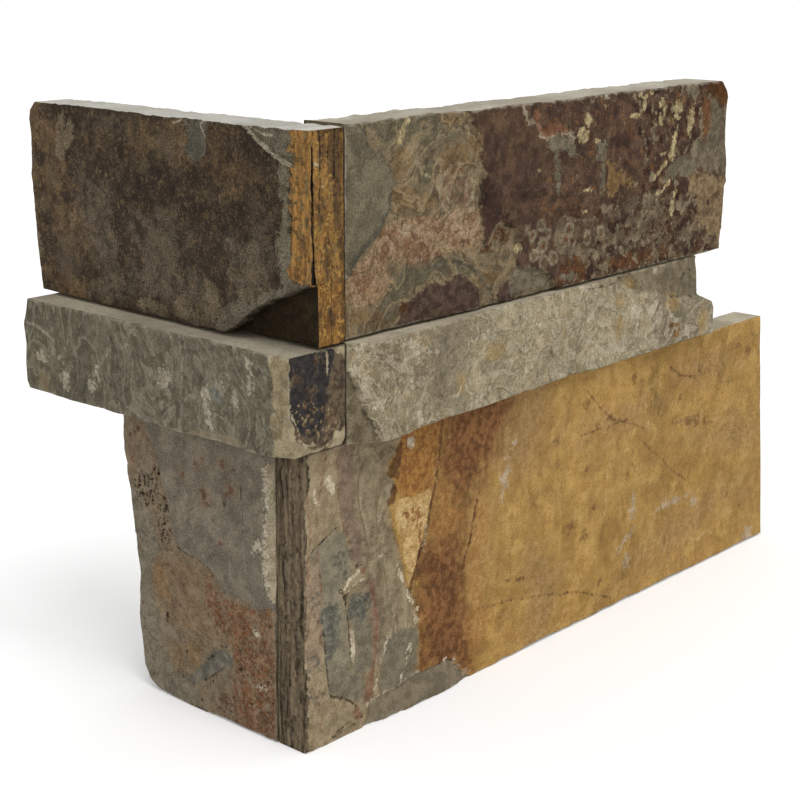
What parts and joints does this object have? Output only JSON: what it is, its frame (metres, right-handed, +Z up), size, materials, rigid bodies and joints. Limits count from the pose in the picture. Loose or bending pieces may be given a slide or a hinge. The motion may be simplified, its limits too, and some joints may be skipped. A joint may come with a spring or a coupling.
{
  "type": "stone cladding corner piece",
  "caption": "L-shaped corner piece of split slate cladding, its stones in stepped interlocking courses with flat sawn backs that wrap round an outside wall corner.",
  "frame": {"origin": "the inner corner where the two flat backs meet, at the foot of the piece", "axes": "+X out along the long leg, +Y out along the short leg, +Z up"},
  "size_m": [0.4354, 0.2135, 0.3],
  "materials": {
    "ochre_slate": "natural split, matt",
    "blue_grey_slate": "natural split, matt",
    "tan_slate": "natural split, matt",
    "olive_slate": "natural split, matt",
    "purple_slate": "natural split, matt",
    "umber_slate": "natural split, matt",
    "adhesive": "matt, dark grey"
  },
  "bodies": {
    "root": {"bottom_long_stone": "ochre_slate", "bottom_short_stone": "blue_grey_slate", "middle_long_stone": "tan_slate", "middle_short_stone": "olive_slate", "top_long_stone": "purple_slate", "top_short_stone": "umber_slate", "lower_long_bed": "adhesive", "lower_short_bed": "adhesive", "upper_long_bed": "adhesive", "upper_short_bed": "adhesive", "bottom_corner_bond": "adhesive", "middle_corner_bond": "adhesive", "top_corner_bond": "adhesive"}
  },
  "joints": []
}
